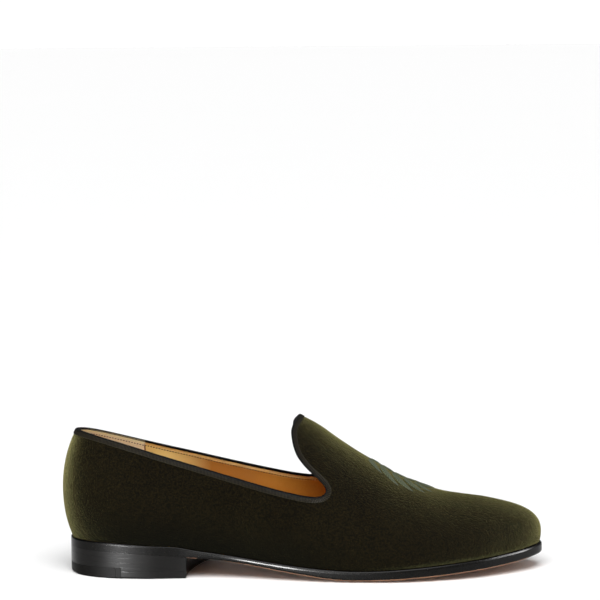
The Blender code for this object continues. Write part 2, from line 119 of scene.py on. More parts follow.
# %% Curves through the tables
def cubic(knots, values, slope, at):
    """Read the curve that has these values and slopes at its knots."""
    cell = np.clip(np.searchsorted(knots, at, side="right") - 1, 0, len(knots) - 2)
    width = knots[cell + 1] - knots[cell]
    t = (at - knots[cell]) / width
    if values.ndim > 1:
        width, t = width[:, None], t[:, None]
    start = values[cell] * (1 + 2 * t) + slope[cell] * width * t
    end = values[cell + 1] * (3 - 2 * t) - slope[cell + 1] * width * (1 - t)
    return start * (1 - t) ** 2 + end * t ** 2


def smooth(knots, values, at):
    """Read a curve that runs through a table's points without overshooting them."""
    at = np.clip(at, knots[0], knots[-1])
    step = np.diff(knots)
    rise = np.diff(values) / step
    slope = np.empty(len(knots))
    slope[0], slope[-1] = rise[0], rise[-1]
    before, after = rise[:-1], rise[1:]
    middle = (before * step[1:] + after * step[:-1]) / (step[1:] + step[:-1])
    limit = 3 * np.minimum(abs(before), abs(after)) * (before * after > 0)
    slope[1:-1] = np.clip(middle, -limit, limit)
    return cubic(knots, values, slope, at)


def read_around(lateral, medial, angle):
    turn = 2 * math.pi
    knots = np.concatenate([STATION_ANGLES, turn - STATION_ANGLES[-2::-1]])
    values = np.concatenate([lateral, medial[-2::-1]])
    knots = np.concatenate([knots[-3:-1] - turn, knots, knots[1:3] + turn])
    values = np.concatenate([values[-3:-1], values, values[1:3]])
    return smooth(knots, values, np.mod(angle, turn))


def sole_height(column, x):
    return SEAT_HEIGHT * smooth(SOLE["along"], SOLE[column], x / LENGTH)


def ridge_height(x):
    return INSTEP_HEIGHT * smooth(RIDGE_ALONG, RIDGE_HEIGHT, x / LENGTH)


def outline(angle, outset=0.0):
    """Feather line from above, moved outwards by outset."""
    def point(at):
        x = SOLE_MARGIN + (LENGTH - 2 * SOLE_MARGIN) * (1 - np.cos(at)) / 2
        return np.stack([x, BALL_WIDTH * read_around(-LAST["lateral"], LAST["medial"], at)], -1)

    nudge = 0.01
    ahead = point(angle + nudge) - point(angle - nudge)
    ahead /= np.linalg.norm(ahead, axis=-1, keepdims=True)
    outward = np.stack([ahead[..., 1], -ahead[..., 0]], -1)
    return point(angle) + np.asarray(outset)[..., None] * outward


def last_surface(angle, t):
    """Point of the last at each angle round the foot, t of the way from the sole up to the ridge."""
    foot = outline(angle)
    swell = BALL_WIDTH * read_around(LAST["swell"], LAST["swell"], angle)
    foot_z = sole_height("seat", foot[:, 0]) + GAP
    ridge_x = LENGTH * read_around(LAST["ridge_along"], LAST["ridge_along"], angle)
    ridge_y = BALL_WIDTH * read_around(LAST["ridge_off"], LAST["ridge_off"], angle)
    ridge = np.column_stack([ridge_x, ridge_y, ridge_height(ridge_x)])
    height = ridge[:, 2] - foot_z
    low = foot + (outline(angle, 1.0) - foot) * swell[:, None]
    low_z = foot_z + height * read_around(LAST["rise"], LAST["rise"], angle)
    toward = (foot - ridge[:, :2]) * read_around(LAST["reach"], LAST["reach"], angle)[:, None]
    slope = (ridge_height(ridge_x + 1) - ridge_height(ridge_x - 1)) / 2
    high_z = ridge[:, 2] + slope * toward[:, 0] - height * read_around(LAST["drop"], LAST["drop"], angle)
    handles = (
        np.column_stack([foot, foot_z]), np.column_stack([low, low_z]),
        np.column_stack([ridge[:, :2] + toward, high_z]), ridge,
    )
    t = np.asarray(t)[:, None]
    shares = ((1 - t) ** 3, 3 * (1 - t) ** 2 * t, 3 * (1 - t) * t ** 2, t ** 3)
    return sum(share * handle for share, handle in zip(shares, handles))


def over_the_last(u, v):
    """u goes from the heel to the toe, v from the outer feather line over the ridge to the inner one."""
    angle = np.where(v <= 0.5, math.pi * u, 2 * math.pi - math.pi * u)
    return last_surface(angle, np.minimum(2 * v, 2 - 2 * v))


print("ridge above the ball:", round(float(ridge_height(np.array([200.0]))[0]), 1), "mm")

# %% [markdown]
# ## A small workbench
#
# Most pieces of a shoe are sheets: a grid that is bent over something and given a thickness. So one
# helper starts from a flat grid, remembers each vertex's place on it, and extrudes that grid through
# layers. A second helper drags a section along a path, which is how the ribbon is made.

# %% Helpers for meshes
def srgb(red, green, blue):
    """A colour as a screen shows it, 0 to 255, as the linear colour that a shader takes."""
    shares = np.array((red, green, blue)) / 255
    return (*np.where(shares <= 0.04045, shares / 12.92, ((shares + 0.055) / 1.055) ** 2.4).tolist(), 1.0)


def put(verts, at_u, at_v, place):
    """Move vertices to a layer's places, from millimetres on the last's ruler to metres in the frame."""
    verts = list(verts)
    u = np.array([vert[at_u] for vert in verts])
    v = np.array([vert[at_v] for vert in verts])
    for vert, spot in zip(verts, (place(u, v) + SHIFT) * MM):
        vert.co = spot


def layered(along, across, layers):
    """A grid laid as the first layer and extruded through the others. A layer is a function of u and v."""
    bm = bmesh.new()
    bmesh.ops.create_grid(bm, x_segments=along, y_segments=across, size=0.5)
    at_u, at_v = bm.verts.layers.float.new("u"), bm.verts.layers.float.new("v")
    for vert in bm.verts:
        vert[at_u], vert[at_v] = vert.co.x + 0.5, vert.co.y + 0.5
    put(bm.verts, at_u, at_v, layers[0])
    geometry = list(bm.verts) + list(bm.edges) + list(bm.faces)
    for number, layer in enumerate(layers[1:]):
        made = bmesh.ops.extrude_face_region(bm, geom=geometry, use_keep_orig=number == 0)["geom"]
        geometry = [item for item in made if isinstance(item, bmesh.types.BMFace)]
        put([item for item in made if isinstance(item, bmesh.types.BMVert)], at_u, at_v, layer)
    bmesh.ops.remove_doubles(bm, verts=bm.verts, dist=1e-6)
    bmesh.ops.recalc_face_normals(bm, faces=bm.faces)
    return bm


def as_mesh(name, bm):
    """Write a bmesh into a new mesh, and free it."""
    mesh = bpy.data.meshes.new(name)
    bm.to_mesh(mesh)
    bm.free()
    return mesh


def linked(name, data):
    """A new object in the scene, for a mesh, a light or a camera."""
    thing = bpy.data.objects.new(name, data)
    bpy.context.scene.collection.objects.link(thing)
    return thing


def finished(name, bm, slot, *looks, sharp=40):
    """Make the object, shade it, and let it ride on the shoe's one body."""
    mesh = as_mesh(name, bm)
    mesh.shade_smooth()
    mesh.set_sharp_from_angle(angle=math.radians(sharp))
    for look in looks:
        mesh.materials.append(look)
    piece = linked(name, mesh)
    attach(piece, "root")
    print(name, len(mesh.polygons), "faces")
    return piece


def add_share(piece, name, rule):
    """Store one number per vertex, found by a rule from its place on the last's ruler."""
    mesh = piece.data
    where = np.empty(len(mesh.vertices) * 3)
    mesh.vertices.foreach_get("co", where)
    layer = mesh.attributes.new(name, "FLOAT", "POINT")
    layer.data.foreach_set("value", np.asarray(rule(where.reshape(-1, 3) / MM - SHIFT), dtype=np.float32))


def eased(value, low, high):
    """0 below low, 1 above high, and a soft change between them."""
    share = np.clip((value - low) / (high - low), 0, 1)
    return share * share * (3 - 2 * share)


def swept(rings, lengths):
    """Extrude a ring of points through the other rings, back to the first. UV: mm along, share across."""
    bm = bmesh.new()
    size = len(rings[0])
    spot = bm.verts.layers.int.new("spot")
    run = bm.verts.layers.float.new("run")
    verts = [bm.verts.new((point + SHIFT) * MM) for point in rings[0]]
    for index, vert in enumerate(verts):
        vert[spot], vert[run] = index, lengths[0]
    edges = [bm.edges.new((verts[i], verts[(i + 1) % size])) for i in range(size)]
    for ring, length in zip(rings[1:], lengths[1:]):
        made = bmesh.ops.extrude_edge_only(bm, edges=edges)["geom"]
        fresh = {item for item in made if isinstance(item, bmesh.types.BMVert)}
        for vert in fresh:
            vert.co = (ring[vert[spot]] + SHIFT) * MM
            vert[run] = length
        made = [item for item in made if isinstance(item, bmesh.types.BMEdge)]
        edges = [edge for edge in made if fresh.issuperset(edge.verts)]
    uv = bm.loops.layers.uv.new("ribbon")
    for face in bm.faces:
        across = [loop.vert[spot] for loop in face.loops]
        wraps = max(across) - min(across) > size / 2
        for loop in face.loops:
            index = loop.vert[spot] + (size if wraps and loop.vert[spot] < size / 2 else 0)
            loop[uv].uv = (loop.vert[run], index / size)
    bmesh.ops.remove_doubles(bm, verts=bm.verts, dist=1e-6)
    bmesh.ops.recalc_face_normals(bm, faces=bm.faces)
    return bm


trial = layered(2, 1, [lambda u, v, z=z: np.column_stack([u, v, 0 * u + z]) for z in (0, 1)])
print("trial block:", len(trial.verts), "vertices,", len(trial.faces), "faces")
trial.free()

# %% [markdown]
# ## Finishes
#
# Each finish starts from the same shader. A helper makes the material and sets the plain numbers on
# the shader's own sockets; another adds a noise whose scale is given as the size of its spots in
# millimetres, which is how one thinks about nap or grain.

# %% Helpers for finishes
def finish(name, colour, roughness, **sockets):
    look = bpy.data.materials.new(name)
    look.use_nodes = True
    shader = look.node_tree.nodes["Principled BSDF"]
    shader.inputs["Base Color"].default_value = colour
    shader.inputs["Roughness"].default_value = roughness
    for socket, value in sockets.items():
        shader.inputs[socket.replace("_", " ")].default_value = value
    return look, look.node_tree, shader


def place_node(tree, uv=None):
    """Object coordinates, or a named UV map, ready to feed a texture."""
    if uv:
        node = tree.nodes.new("ShaderNodeUVMap")
        node.uv_map = uv
        return node.outputs["UV"]
    return tree.nodes.new("ShaderNodeTexCoord").outputs["Object"]


def share_node(tree, name):
    """A number that add_share stored on the piece."""
    node = tree.nodes.new("ShaderNodeAttribute")
    node.attribute_name = name
    return node.outputs["Fac"]


def part_of(tree, place, axis):
    """One axis of a place."""
    node = tree.nodes.new("ShaderNodeSeparateXYZ")
    tree.links.new(place, node.inputs["Vector"])
    return node.outputs[axis]


def spots(tree, place, size_mm, detail=2.0, stretch=(1, 1, 1)):
    """Noise whose spots are about size_mm wide."""
    mapping = tree.nodes.new("ShaderNodeMapping")
    mapping.inputs["Scale"].default_value = [share / (size_mm * MM) for share in stretch]
    noise = tree.nodes.new("ShaderNodeTexNoise")
    noise.inputs["Scale"].default_value = 1.0
    noise.inputs["Detail"].default_value = detail
    tree.links.new(place, mapping.inputs["Vector"])
    tree.links.new(mapping.outputs["Vector"], noise.inputs["Vector"])
    return noise.outputs["Fac"]


def feed(tree, socket, value):
    """Link another node's output to a socket, or set a plain number or colour on it."""
    if isinstance(value, bpy.types.NodeSocket):
        tree.links.new(value, socket)
    else:
        socket.default_value = value


def ranged(tree, value, low, high, at_low=0.0, at_high=1.0):
    """A ramp from at_low to at_high while the value runs from low to high."""
    ramp = tree.nodes.new("ShaderNodeMapRange")
    for name, number in zip(("From Min", "From Max", "To Min", "To Max"), (low, high, at_low, at_high)):
        ramp.inputs[name].default_value = number
    tree.links.new(value, ramp.inputs["Value"])
    return ramp.outputs["Result"]


def between(tree, share, low, high, first, second):
    """Blend two colours where share runs from low to high."""
    mix = tree.nodes.new("ShaderNodeMix")
    mix.data_type = "RGBA"
    tree.links.new(ranged(tree, share, low, high), mix.inputs["Factor"])
    feed(tree, mix.inputs[6], first)
    feed(tree, mix.inputs[7], second)
    return mix.outputs[2]


def arithmetic(tree, operation, *values):
    """One step of arithmetic on texture values."""
    node = tree.nodes.new("ShaderNodeMath")
    node.operation = operation
    for socket, value in zip(node.inputs, values):
        feed(tree, socket, value)
    return node.outputs["Value"]


def bumped(tree, shader, height, depth_mm, strength=1.0):
    """Raise the surface a little by a texture value."""
    bump = tree.nodes.new("ShaderNodeBump")
    bump.inputs["Strength"].default_value = strength
    bump.inputs["Distance"].default_value = depth_mm * MM
    tree.links.new(height, bump.inputs["Height"])
    tree.links.new(bump.outputs["Normal"], shader.inputs["Normal"])


def summed(tree, *values):
    """Add up several texture values, each given with its weight."""
    total = 0.0
    for value, weight in values:
        total = arithmetic(tree, "MULTIPLY_ADD", value, weight, total)
    return total


print("finish helpers ready")

# %% [markdown]
# ## Velvet
#
# Velvet is a pile of short upright threads. Seen from the front the light falls between them and the
# cloth is nearly black, and seen at a slant the threads' sides light up. The shader's sheen does just
# that. The dark colour is mottled where the pile leans this way or that, and a fine grain breaks it.
# Low on the quarters and round the heel the colour is darkened to nearly black: painted shade. A narrow
# line of roughed-up nap just above the front of the sole is painted paler: painted sheen.

# %% The velvet finish
VELVET, tree, shader = finish(
    "velvet_pile", srgb(24, 19, 9), 0.95,
    Specular_IOR_Level=0.02, Sheen_Weight=1.0, Sheen_Roughness=0.36, Sheen_Tint=srgb(190, 184, 120),
)
place = place_node(tree)
grain = spots(tree, place, 1.2, detail=3)
lean = spots(tree, place, 38, detail=1)
cloth = between(tree, grain, 0.38, 0.62, srgb(2, 1, 0), srgb(21, 15, 4))
pale_cloth = between(tree, grain, 0.38, 0.62, srgb(5, 4, 1), srgb(25, 19, 6))
cloth = between(tree, lean, 0.40, 0.62, cloth, pale_cloth)
# Painted shade: low on the quarters and round the heel the colour goes to nearly black.
cloth = between(tree, share_node(tree, "shaded"), 0.0, 1.0, cloth, srgb(1, 1, 1))
# Painted sheen: a pale line of roughed-up nap just above the front of the sole, broken by the grain.
brushed_nap_sheen = summed(tree, (share_node(tree, "brushed_nap_sheen"), 1.0), (grain, 1.2))
cloth = between(tree, brushed_nap_sheen, 0.8, 1.9, cloth, srgb(62, 62, 38))
tree.links.new(cloth, shader.inputs["Base Color"])
nap = summed(tree, (spots(tree, place, 0.6, detail=3), 1.0), (spots(tree, place, 4.0), 0.5))
bumped(tree, shader, summed(tree, (nap, 1.0), (grain, 0.8)), 0.5, 1.0)
print("velvet made of", len(tree.nodes), "nodes")

# %% [markdown]
# ## The upper
#
# On the real shoe two quarters and a vamp are sewn together, lined, soaked and pulled tight over the
# last. Here a fine grid is bent over the last's formula, and a modifier gives it thickness inwards.
# The collar is cut with a Boolean, exactly as the solid's was: a prism across the shoe, whose lower
# side follows the topline. Outer cloth and lining are two thin shells, so that each has its own look.

# %% The collar cutter
def topline_curve(count):
    """Places x, z and climb of a smooth curve through the collar edge's table."""
    table = np.array(TOPLINE_ROWS) * (LENGTH, INSTEP_HEIGHT, 1)
    chords = np.linalg.norm(np.diff(table, axis=0), axis=1)
    knots = np.concatenate([[0], np.cumsum(chords ** 0.5)])
    at = np.linspace(0, knots[-1], count)
    return cubic(knots, table, np.gradient(table, knots, axis=0), at)


def collar_prism():
    """One face across the side view, extruded right through the shoe."""
    reach, above = BALL_WIDTH, 2 * INSTEP_HEIGHT
    line = topline_curve(160)
    profile = [*line, (line[-1][0], above, 0), (line[0][0], above, 0)]
    bm = bmesh.new()
    number = bm.verts.layers.int.new("number")
    near = [
        bm.verts.new(((x + SHIFT[0]) * MM, (SHIFT[1] - reach) * MM, (z - reach * climb) * MM))
        for x, z, climb in profile
    ]
    for index, vert in enumerate(near):
        vert[number] = index
    side = bm.faces.new(near)
    sheet = [side, *side.edges, *side.verts]
    made = bmesh.ops.extrude_face_region(bm, geom=sheet, use_keep_orig=True)["geom"]
    for vert in (item for item in made if isinstance(item, bmesh.types.BMVert)):
        x, z, climb = profile[vert[number]]
        vert.co = ((x + SHIFT[0]) * MM, (reach + SHIFT[1]) * MM, (z + reach * climb) * MM)
    bmesh.ops.recalc_face_normals(bm, faces=bm.faces)
    return linked("collar_prism", as_mesh("collar_prism", bm))


cutter = collar_prism()
print("cutter:", len(cutter.data.polygons), "faces")

# %% Shells over the last
ALONG, ACROSS = 220, 112


def last_grid(inset=0.0, reach=None):
    """A merged grid over the last, sunk along its own normals. reach keeps only the part behind an x."""
    bm = layered(ALONG, ACROSS, (over_the_last,))
    up = sum(face.normal.z * face.calc_area() for face in bm.faces)
    if up < 0:
        bmesh.ops.reverse_faces(bm, faces=bm.faces)
    bm.normal_update()
    for vert, normal in [(vert, vert.normal.copy()) for vert in bm.verts]:
        vert.co -= normal * inset * MM
    if reach is not None:
        bmesh.ops.bisect_plane(
            bm, geom=[*bm.verts, *bm.edges, *bm.faces], dist=1e-7,
            plane_co=((reach + SHIFT[0]) * MM, 0, 0), plane_no=(1, 0, 0), clear_outer=True,
        )
    return bm


def cut_shell(name, bm, thickness, slot, look):
    """Thicken inwards, cut the collar, and keep the result as a plain mesh."""
    blank = linked(name + "_rough", as_mesh(name + "_rough", bm))
    wall = blank.modifiers.new("wall", "SOLIDIFY")
    wall.thickness, wall.offset, wall.use_even_offset = thickness * MM, -1, True
    cut = blank.modifiers.new("cut", "BOOLEAN")
    cut.operation, cut.solver, cut.object = "DIFFERENCE", "EXACT", cutter
    bpy.context.view_layer.update()
    mesh = bpy.data.meshes.new_from_object(blank.evaluated_get(bpy.context.evaluated_depsgraph_get()))
    bpy.data.objects.remove(blank)
    shell = bmesh.new()
    shell.from_mesh(mesh)
    bpy.data.meshes.remove(mesh)
    return finished(name, shell, slot, look, sharp=50)


CLOTH, LINING_START, GRIP_THICKNESS = 1.0, 1.05, 0.4
outer = last_grid()
tree_of_last = BVHTree.FromBMesh(outer)
velvet_upper = cut_shell("velvet_upper", outer, CLOTH, "velvet", VELVET)
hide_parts("upper")


def above_the_sole(where):
    return where[:, 2] - sole_height("seat", where[:, 0])


def shaded(where):
    """Painted shade: darkest low on the quarters and round the heel, and weaker under the toes."""
    return np.exp(-(above_the_sole(where) / 17) ** 2) * (1 - 0.75 * eased(where[:, 0], 130, 190))


def brushed_nap_sheen(where):
    """A narrow line of roughed-up nap along the front of the sole, with its sheen painted as a paler colour."""
    return np.exp(-(above_the_sole(where) / 2.2) ** 2) * eased(where[:, 0], 160, 240)


add_share(velvet_upper, "shaded", shaded)
add_share(velvet_upper, "brushed_nap_sheen", brushed_nap_sheen)

# %% [markdown]
# ## Lining leather
#
# Inside, the shoe is lined with tan calf. It is smooth, with a fine pore pattern and a little waxy
# gloss, and its tone changes at random in broad patches. A noise for the pores and a broad one for
# the tone are enough, since the lining is only seen through the collar. Along the shoe its colour
# carries painted light and shade: pale at the back, darker in the middle, and bright again at the
# front, where the vamp shades it. The rim under the ribbon is painted paler, and the pale suede of
# the heel grip paler still: painted light.

# %% The lining and the heel grip
def leather(name, dark, light, roughness, pore_mm=0.9, depth=0.12, tone_mm=30, **sockets):
    """Grained leather: a broad change of tone, and pores as a shallow bump."""
    look, tree, shader = finish(name, light, roughness, **sockets)
    place = place_node(tree)
    tone = summed(tree, (spots(tree, place, tone_mm), 0.7), (spots(tree, place, 2.5, detail=4), 0.3))
    tree.links.new(between(tree, tone, 0.35, 0.65, dark, light), shader.inputs["Base Color"])
    pores = summed(tree, (spots(tree, place, pore_mm, detail=3), 0.7), (spots(tree, place, 5.0), 0.5))
    bumped(tree, shader, pores, depth, 0.8)
    return look


def along_the_shoe(look, start, end, before):
    """Blend from a colour behind one place, in mm, to the look's own colour beyond the other."""
    tree = look.node_tree
    colour = tree.nodes["Principled BSDF"].inputs["Base Color"]
    low, high = ((x + SHIFT[0]) * MM for x in (start, end))
    length = part_of(tree, place_node(tree), "X")
    tree.links.new(between(tree, length, low, high, before, colour.links[0].from_socket), colour)


LINING = leather("lining_calf", srgb(204, 138, 44), srgb(222, 156, 56), 0.5, Specular_IOR_Level=0.3)
# Painted light and shade along the lining: darker brown in the middle, pale at the back, and the lining's own brighter
# tan at the front, though the vamp shades it.
along_the_shoe(LINING, 112, 152, srgb(176, 114, 44))
along_the_shoe(LINING, 60, 88, srgb(255, 226, 150))
# The heel grip is a pale suede, made paler still as painted light on the back of the lining.
GRIP = leather(
    "heel_grip_suede", srgb(250, 232, 204), srgb(255, 240, 216), 0.8, pore_mm=0.5, depth=0.2,
    Specular_IOR_Level=0.1,
)
HEEL_GRIP_END = 46.0
along_the_shoe(GRIP, HEEL_GRIP_END - 0.4, HEEL_GRIP_END - 1.0, srgb(130, 66, 38))
# Painted light: lining and grip turn paler on the rim between the ribbon and the stitches, at the lit top.
for look, pale in ((LINING, srgb(244, 206, 132)), (GRIP, srgb(255, 246, 212))):
    tree = look.node_tree
    colour = tree.nodes["Principled BSDF"].inputs["Base Color"]
    rim = between(tree, share_node(tree, "under_the_edge"), 0.1, 1.0, colour.links[0].from_socket, pale)
    tree.links.new(rim, colour)
lining_grid, grip_grid = last_grid(LINING_START), last_grid(WALL + 0.02, HEEL_GRIP_END)
lining = cut_shell("leather_lining", lining_grid, WALL - LINING_START, "sock_leather", LINING)
heel_grip = cut_shell("heel_grip", grip_grid, GRIP_THICKNESS, "sock_leather", GRIP)

# %% [markdown]
# ## The collar edge
#
# A ribbon is folded over the cut edge of the upper and sewn through. To follow that edge, rays are
# sent sideways from the middle of the shoe at each place of the topline, and the points where they
# leave the last make one closed path: forward along the outer side, up round the tongue, and back.

# %% Find the path of the edge
def edge_hits(place, side):
    x, z, climb = place
    ray = Vector((0, side, side * climb)).normalized()
    start = Vector(((x + SHIFT[0]) * MM, SHIFT[1] * MM, z * MM))
    hit, normal = tree_of_last.ray_cast(start, ray)[:2]
    if hit is None:
        return None
    return np.array(hit) / MM - SHIFT, np.array(normal) * (1 if normal.y * side > 0 else -1)


def edge_path(count):
    """Places, points and normals on both sides, spread evenly along the outer side's edge."""
    dense = topline_curve(5000)
    pairs = [(place, edge_hits(place, -1), edge_hits(place, 1)) for place in dense]
    pairs = [pair for pair in pairs if pair[1] and pair[2]]
    points = np.array([pair[1][0] for pair in pairs])
    run = np.concatenate([[0], np.cumsum(np.linalg.norm(np.diff(points, axis=0), axis=1))])
    chosen = np.searchsorted(run, np.linspace(0, run[-1], count)).clip(0, len(pairs) - 1)
    return [pairs[i] for i in chosen]


SIDE_COUNT = 330
pairs = edge_path(SIDE_COUNT)
hits = [pair[1] for pair in pairs] + [pair[2] for pair in reversed(pairs)]
edge_points = np.array([hit[0] for hit in hits])
edge_normals = np.array([hit[1] for hit in hits])
for _ in range(6):
    edge_normals = edge_normals + np.roll(edge_normals, 1, 0) + np.roll(edge_normals, -1, 0)
    edge_normals /= np.linalg.norm(edge_normals, axis=1, keepdims=True)
places = np.array([pair[0] for pair in pairs])
slopes = np.concatenate([np.gradient(places, axis=0), np.gradient(places, axis=0)[::-1]])
climbs = np.concatenate([places, places[::-1]])[:, 2]
ahead = np.roll(edge_points, -1, 0) - np.roll(edge_points, 1, 0)
ahead -= (ahead * edge_normals).sum(1, keepdims=True) * edge_normals
ahead /= np.linalg.norm(ahead, axis=1, keepdims=True)
down = np.cross(ahead, edge_normals)
nothing = 0 * climbs
sideways = np.column_stack([nothing, nothing + 1, climbs])
cut_faces = np.cross(sideways, np.column_stack([slopes[:, 0], nothing, slopes[:, 1]]))
into = np.cross(cut_faces, ahead)
into /= np.linalg.norm(into, axis=1, keepdims=True)
into *= -np.sign((into * edge_normals).sum(1, keepdims=True))
into *= WALL / -(into * edge_normals).sum(1, keepdims=True).clip(None, -0.45)
steps = np.linalg.norm(np.roll(edge_points, -1, 0) - edge_points, axis=1)
edge_run = np.concatenate([[0], np.cumsum(steps)])
print("collar edge:", round(edge_run[-1]), "mm round, with", len(edge_points), "places")

tree_of_edge = KDTree(len(edge_points))
for index, point in enumerate(edge_points + into):
    tree_of_edge.insert(point, index)
tree_of_edge.balance()


def under_the_edge(where):
    """1 on the rim of leather between the ribbon and the stitches, 0 from 3.5 mm below the edge."""
    return 1 - eased(np.array([tree_of_edge.find(point)[2] for point in where]), 1.4, 3.6)


add_share(lining, "under_the_edge", under_the_edge)
add_share(heel_grip, "under_the_edge", under_the_edge)

# %% [markdown]
# ## Ribbed ribbon
#
# The binding is a ribbed ribbon, black, about 6 mm wide before it is folded. Its ribs run across it,
# slightly slanted, about one to each mm, and its woven edge is a little paler. It is a folded section
# dragged along the collar's edge, with a long leg outside and a short one inside. The ribs are raised
# from its UV map, which counts millimetres along the ribbon, and the same waves paint each groove
# darker and each crown paler: painted shade and light.

# %% The topline binding
LEG, INNER_LEG = 2.9, 0.7
RIBBON_SECTION = (
    # share of the wall crossed, then out along the normal, then down the wall
    (0, 0.03, LEG), (0, 0.34, LEG + 0.02), (0, 0.48, LEG - 0.35), (0, 0.55, 0.60 * LEG),
    (0, 0.58, 0.30 * LEG), (0, 0.52, 0.0), (0, 0.32, -0.38), (0.22, 0.0, -0.60), (0.5, 0.0, -0.68),
    (0.78, 0.0, -0.60), (1, -0.32, -0.36), (1, -0.46, 0.0), (1, -0.47, 0.3 * INNER_LEG),
    (1, -0.42, 0.6 * INNER_LEG), (1, -0.32, 0.9 * INNER_LEG), (1, -0.18, INNER_LEG + 0.02),
    (1, -0.03, INNER_LEG), (1, -0.03, -0.1), (0, 0.03, -0.1),
)
lines = [edge_points + share * into + out * edge_normals + low * down for share, out, low in RIBBON_SECTION]
rings = np.array(lines).transpose(1, 0, 2)
rings = np.concatenate([rings, rings[:1]])
RIBBON, tree, shader = finish(
    "ribbed_ribbon", srgb(16, 16, 13), 0.6, Specular_IOR_Level=0.04, Sheen_Weight=0.02,
    Sheen_Roughness=0.4, Sheen_Tint=srgb(90, 92, 80),
)
RIB_PITCH, RIB_SLANT = 0.92, 9.0
ribbon_place = place_node(tree, "ribbon")
slant = tree.nodes.new("ShaderNodeMapping")
slant.inputs["Scale"].default_value = (2.0 / RIB_PITCH, RIB_SLANT, 0.0)
waves = tree.nodes.new("ShaderNodeTexWave")
waves.inputs["Scale"].default_value = 0.314
waves.inputs["Distortion"].default_value = 0.6
waves.inputs["Detail Scale"].default_value = 0.4
waves.bands_direction = "DIAGONAL"
waves.wave_profile = "SIN"
tree.links.new(ribbon_place, slant.inputs["Vector"])
tree.links.new(slant.outputs["Vector"], waves.inputs["Vector"])
ribs = waves.outputs["Fac"]
height_on_ribbon = part_of(tree, ribbon_place, "Y")
# Painted shade and light on the ribs: dark in each groove, paler on each crown, over the ribbon's own black and its
# paler woven edge.
selvage = between(tree, ribs, 0.1, 0.9, srgb(28, 26, 18), srgb(54, 50, 34))
middle = between(tree, ribs, 0.1, 0.9, srgb(5, 5, 3), srgb(40, 34, 21))
fold = between(tree, ribs, 0.1, 0.9, srgb(3, 3, 2), srgb(12, 12, 10))
outer_leg = between(tree, height_on_ribbon, 0.07, 0.13, selvage, middle)
tree.links.new(between(tree, height_on_ribbon, 0.19, 0.27, outer_leg, fold), shader.inputs["Base Color"])
bumped(tree, shader, ribs, 0.25, 1.0)
binding = finished("ribbon_binding", swept(rings, edge_run), "ribbon", RIBBON, sharp=60)
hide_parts("topline_binding")

# %% [markdown]
# ## Thread
#
# A row of small brown stitches holds the lining to the upper, 2.3 mm under the ribbon on the inside. A
# stitch is a short bent rod of thread, so a squashed ball is enough at this size. It has only thirty
# faces, because there are about 260 of them.

# %% Stitches inside the collar
THREAD, tree, shader = finish("brown_thread", srgb(70, 36, 14), 0.7)
twist = spots(tree, place_node(tree), 0.25)
tree.links.new(between(tree, twist, 0.4, 0.6, srgb(52, 24, 9), srgb(88, 48, 20)), shader.inputs["Base Color"])
bumped(tree, shader, twist, 0.08)


def add_stitch(bm, centre, along, normal, size):
    """One stitch: a small ball, stretched along the seam and pressed flat against it."""
    side = np.cross(normal, along)
    axes = np.column_stack([along * size[0], side * size[1], normal * size[2]])
    turn = Matrix(axes.tolist()).to_4x4() * MM
    turn.translation = (centre + SHIFT) * MM
    turn[3][3] = 1.0
    bmesh.ops.create_uvsphere(bm, u_segments=6, v_segments=5, radius=0.5, matrix=turn)


def seam(bm, points, normals, pitch, size):
    """Stitches along a row of points, one every pitch."""
    run = np.concatenate([[0], np.cumsum(np.linalg.norm(np.diff(points, axis=0), axis=1))])
    for at in np.arange(pitch / 2, run[-1], pitch):
        centre = np.array([np.interp(at, run, points[:, k]) for k in range(3)])
        ahead_of = np.array([np.interp(at + 0.5, run, points[:, k]) for k in range(3)])
        normal = np.array([np.interp(at, run, normals[:, k]) for k in range(3)])
        normal /= np.linalg.norm(normal)
        along = ahead_of - centre
        along -= along.dot(normal) * normal
        along /= max(np.linalg.norm(along), 1e-9)
        add_stitch(bm, centre, along, normal, size)


bm = bmesh.new()
STITCH_PITCH, STITCH_SIZE, STITCH_DROP, STITCH_LIFT = 1.8, (1.25, 0.6, 0.5), 2.3, 0.1
row, row_normals = [], []
for point in edge_points + into + down * (INNER_LEG + STITCH_DROP):
    hit, normal = tree_of_last.find_nearest((point + SHIFT) * MM)[:2]
    outward = np.array(normal if normal.dot(Vector((point + SHIFT) * MM) - hit) < 0 else -normal)
    lift = STITCH_LIFT + (GRIP_THICKNESS if point[0] < HEEL_GRIP_END else 0)
    row.append(np.array(hit) / MM - SHIFT - (WALL + lift) * outward)
    row_normals.append(-outward)
seam(bm, np.array(row), np.array(row_normals), STITCH_PITCH, STITCH_SIZE)
finished("collar_stitches", bm, "sock_leather", THREAD, sharp=80)

# %% [markdown]
# ## Insole sock
#
# A thin tan leather sock lies on the insole board. It is a plate between the walls, rounded a little
# at its edge, and the same table that gives the sole's seat gives its height.

# %% The insole
INSET = -(WALL + 2 * GAP)


def across_the_sole(outset, height):
    """A layer over the whole sole: outset from the feather line, and a height for each x."""
    def layer(u, v):
        lateral, medial = outline(math.pi * u, outset), outline(-math.pi * u, outset)
        flat = lateral * (1 - v)[:, None] + medial * v[:, None]
        return np.column_stack([flat, height(flat[:, 0], v)])
    return layer


def seat(lift):
    return lambda x, v: sole_height("seat", x) + lift


def dished(x, v):
    """The sock's top: a slight cup under the heel."""
    cup = 0.5 * np.exp(-((x - 35) / 30) ** 2) * (1 - (2 * v - 1) ** 2)
    return sole_height("seat", x) + GAP + 2.6 - cup


layers = (
    across_the_sole(INSET, seat(GAP)), across_the_sole(INSET, seat(GAP + 2.2)),
    across_the_sole(INSET - 0.15, seat(GAP + 2.48)), across_the_sole(INSET - 0.5, dished),
)
